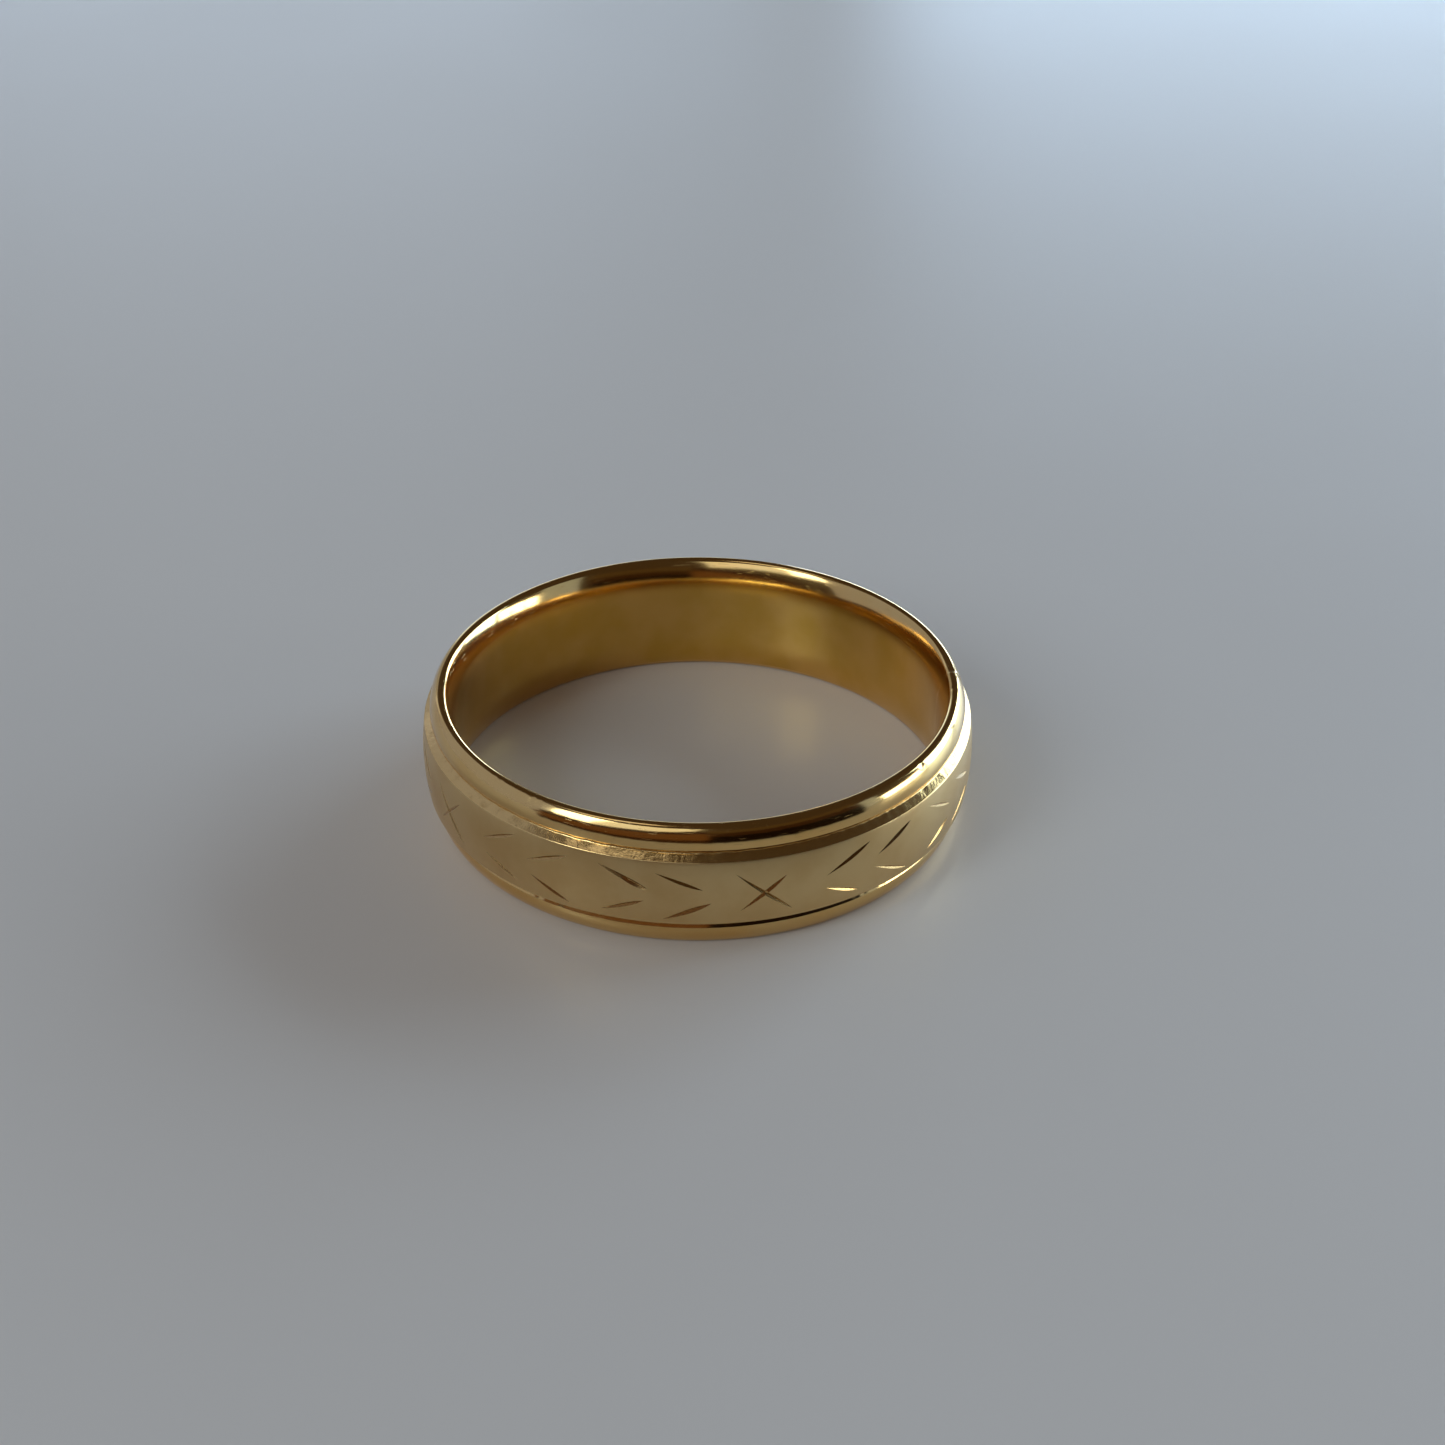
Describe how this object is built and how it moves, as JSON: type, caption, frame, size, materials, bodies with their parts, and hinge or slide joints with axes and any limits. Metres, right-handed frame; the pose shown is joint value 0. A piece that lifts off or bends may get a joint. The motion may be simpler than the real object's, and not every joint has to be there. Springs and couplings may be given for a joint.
{
  "type": "wedding band",
  "caption": "Gold wedding band with a domed centre field engraved with crosses and chevrons, grooved edges, polished rounded rails and a comfort-fit bore.",
  "frame": {"origin": "centre of the finger bore at mid width, which is also the centre of the bounding box", "axes": "+Z along the ring's axis; -Y is the front, from which the engraving's angles are counted; +X is to the right of the front"},
  "size_m": [0.0212, 0.0212, 0.005],
  "materials": {
    "gold": "polished rails, grooves and bore; satin centre field with bright engraved cuts; light wear",
    "gold_solder": "polished flush with the band"
  },
  "bodies": {
    "root": {"band": "gold", "solder_seam": "gold_solder"}
  },
  "joints": []
}
